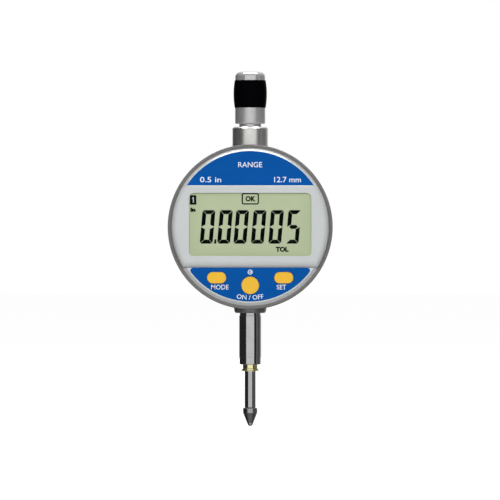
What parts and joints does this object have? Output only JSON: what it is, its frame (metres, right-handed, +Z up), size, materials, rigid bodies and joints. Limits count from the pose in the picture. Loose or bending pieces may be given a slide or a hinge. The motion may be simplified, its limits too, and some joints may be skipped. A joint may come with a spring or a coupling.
{
  "type": "dial indicator",
  "caption": "Round digital dial indicator: a turning display on a case, a clamping stem, a sprung plunger with a ball contact, and a lifting cap.",
  "frame": {"origin": "on the plunger's axis, at mid-length of the 8 mm clamping stem", "axes": "+Z up along the plunger, towards the cap; the display faces -Y; +X is to the right as seen from the front"},
  "size_m": [0.0592, 0.027, 0.128],
  "materials": {
    "case_metal": "satin plated metal with fine turning marks",
    "ground_steel": "ground and hardened steel",
    "bright_steel": "fine turned bright steel",
    "screw_steel": "plated steel",
    "spring_wire": "drawn wire",
    "bush_brass": "turned brass",
    "contact_brass": "stamped sheet",
    "grip_black": "moulded, matt black",
    "seal_rubber": "moulded",
    "frame_plastic": "fine moulded texture",
    "label_film": "printed film, satin",
    "lens_clear": "clear, polished",
    "lcd_panel": "liquid crystal panel, pale green-grey",
    "reflector_film": "diffuse silver film",
    "button_plastic": "smooth, orange-yellow",
    "board_laminate": "solder mask",
    "chip_plastic": "moulded packages",
    "ribbon_film": "flexible film",
    "scale_glass": "coated scale",
    "tray_plastic": "moulded, dark grey",
    "cell_steel": "stamped steel can"
  },
  "bodies": {
    "case": {"rear_housing": "case_metal", "back_cover": "case_metal", "cover_screws": "screw_steel", "stem": "ground_steel", "lower_bush": "bush_brass", "upper_barrel": "ground_steel", "neck_tube": "bright_steel", "upper_bush": "bush_brass", "damper_washer": "seal_rubber", "guide_rail": "ground_steel", "guide_rail_screws": "screw_steel", "sensor_board": "board_laminate", "sensor_chips": "chip_plastic", "sensor_board_screws": "screw_steel", "o_ring": "seal_rubber", "return_spring": "spring_wire"},
    "plunger": {"spindle": "ground_steel", "slider": "ground_steel", "slider_screw": "screw_steel", "guide_pin": "ground_steel", "scale_plate": "scale_glass", "contact_point": "ground_steel", "contact_ball": "ground_steel", "cap_skirt": "bright_steel", "grip_sleeve": "grip_black", "cap_dome": "bright_steel"},
    "display": {"display_shell": "case_metal", "retaining_ring": "ground_steel", "stop_pin": "ground_steel", "bezel_ring": "case_metal", "face_frame": "frame_plastic", "face_screws": "screw_steel", "window_lens": "lens_clear", "upper_label": "label_film", "lower_label": "label_film", "lcd_front_glass": "lcd_panel", "lcd_rear_glass": "lcd_panel", "lcd_reflector": "reflector_film", "zebra_strip": "seal_rubber", "main_board": "board_laminate", "main_board_chips": "chip_plastic", "flex_cable": "ribbon_film", "keypad_seal": "seal_rubber", "switches": "chip_plastic", "battery_contacts": "contact_brass"},
    "battery_tray": {"battery_tray": "tray_plastic", "battery_cell": "cell_steel"},
    "mode_button": {"mode_button": "button_plastic"},
    "set_button": {"set_button": "button_plastic"},
    "centre_button": {"centre_button": "button_plastic"}
  },
  "joints": [
    {"name": "plunger_slide", "type": "slide", "parent": "case", "child": "plunger", "axis": [0, 0, 1], "range_m": [0, 0.0127], "stiffness_N_per_m": 20, "springref_m": -0.0325, "deforming": ["return_spring"]},
    {"name": "display_turn", "type": "hinge", "parent": "case", "child": "display", "pos_m": [0, -0.007, 0.03947], "axis": [0, 1, 0], "range_deg": [-135, 135], "deforming": ["flex_cable"]},
    {"name": "battery_tray_slide", "type": "slide", "parent": "display", "child": "battery_tray", "axis": [1, 0, 0], "range_m": [0, 0.022]},
    {"name": "mode_button_press", "type": "slide", "parent": "display", "child": "mode_button", "axis": [0, 1, 0], "range_m": [0, 0.0005], "stiffness_N_per_m": 400, "springref_m": -0.001},
    {"name": "set_button_press", "type": "slide", "parent": "display", "child": "set_button", "axis": [0, 1, 0], "range_m": [0, 0.0005], "stiffness_N_per_m": 400, "springref_m": -0.001},
    {"name": "centre_button_press", "type": "slide", "parent": "display", "child": "centre_button", "axis": [0, 1, 0], "range_m": [0, 0.0005], "stiffness_N_per_m": 400, "springref_m": -0.001}
  ]
}
